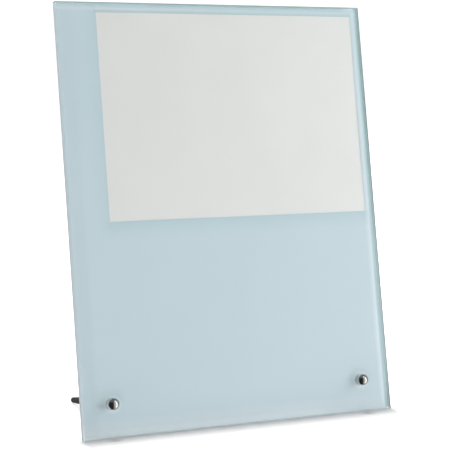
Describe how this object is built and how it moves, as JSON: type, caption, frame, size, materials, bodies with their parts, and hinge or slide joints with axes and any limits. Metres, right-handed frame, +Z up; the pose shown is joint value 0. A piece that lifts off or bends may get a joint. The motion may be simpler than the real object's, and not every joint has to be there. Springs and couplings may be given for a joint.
{
  "type": "desktop glass board",
  "caption": "Frameless portrait glass memo board leaning back on rear screw-in legs, with a blue backing film and a picture window that shows a slide-in print.",
  "frame": {"origin": "centre of the whole footprint, on the surface the board stands on", "axes": "+X across the board, +Y to the back, +Z up; the glass leans back towards +Y and its front looks along -Y"},
  "size_m": [0.2, 0.0898, 0.2507],
  "materials": {
    "clear_glass": "clear float glass, polished bevels",
    "ice_blue_film": "smooth pale blue film seen through the glass",
    "white_card": "plain matt white card",
    "foam_tape": "white foam tape",
    "pocket_plastic": "white satin polypropylene sheet",
    "chrome": "polished chrome plate",
    "clear_plastic": "clear moulded plastic",
    "white_nylon": "natural white nylon",
    "black_plastic": "satin black moulded plastic",
    "brass": "turned brass",
    "soft_rubber": "dark grey rubber"
  },
  "bodies": {
    "board": {"glass_pane": "clear_glass", "back_film": "ice_blue_film", "pocket_rail_left": "foam_tape", "pocket_rail_right": "foam_tape", "pocket_rail_bottom": "foam_tape", "pocket_sheet": "pocket_plastic", "left_dome_screw": "chrome", "left_front_washer": "clear_plastic", "left_hole_sleeve": "clear_plastic", "right_dome_screw": "chrome", "right_front_washer": "clear_plastic", "right_hole_sleeve": "clear_plastic"},
    "photo": {"photo_card": "white_card"},
    "left_washer": {"left_back_washer": "white_nylon"},
    "left_leg": {"left_leg": "black_plastic", "left_leg_insert": "brass", "left_leg_tip": "soft_rubber"},
    "right_washer": {"right_back_washer": "white_nylon"},
    "right_leg": {"right_leg": "black_plastic", "right_leg_insert": "brass", "right_leg_tip": "soft_rubber"}
  },
  "joints": [
    {"name": "photo_slide", "type": "slide", "parent": "board", "child": "photo", "axis": [0, 0.2094, 0.9778], "range_m": [0, 0.13]},
    {"name": "left_leg_travel", "type": "slide", "parent": "board", "child": "left_washer", "axis": [0, 0.9778, -0.2094], "range_m": [0, 0.007]},
    {"name": "left_leg_turn", "type": "hinge", "parent": "left_washer", "child": "left_leg", "pos_m": [-0.081, -0.03504, 0.01853], "axis": [0, 0.9778, -0.2094], "range_deg": [0, 3602]},
    {"name": "right_leg_travel", "type": "slide", "parent": "board", "child": "right_washer", "axis": [0, 0.9778, -0.2094], "range_m": [0, 0.007]},
    {"name": "right_leg_turn", "type": "hinge", "parent": "right_washer", "child": "right_leg", "pos_m": [0.081, -0.03504, 0.01853], "axis": [0, 0.9778, -0.2094], "range_deg": [0, 3602]}
  ],
  "couplings": [
    {"joint": "left_leg_turn", "follows": "left_leg_travel", "rad_per_m": 8976},
    {"joint": "right_leg_turn", "follows": "right_leg_travel", "rad_per_m": 8976}
  ]
}
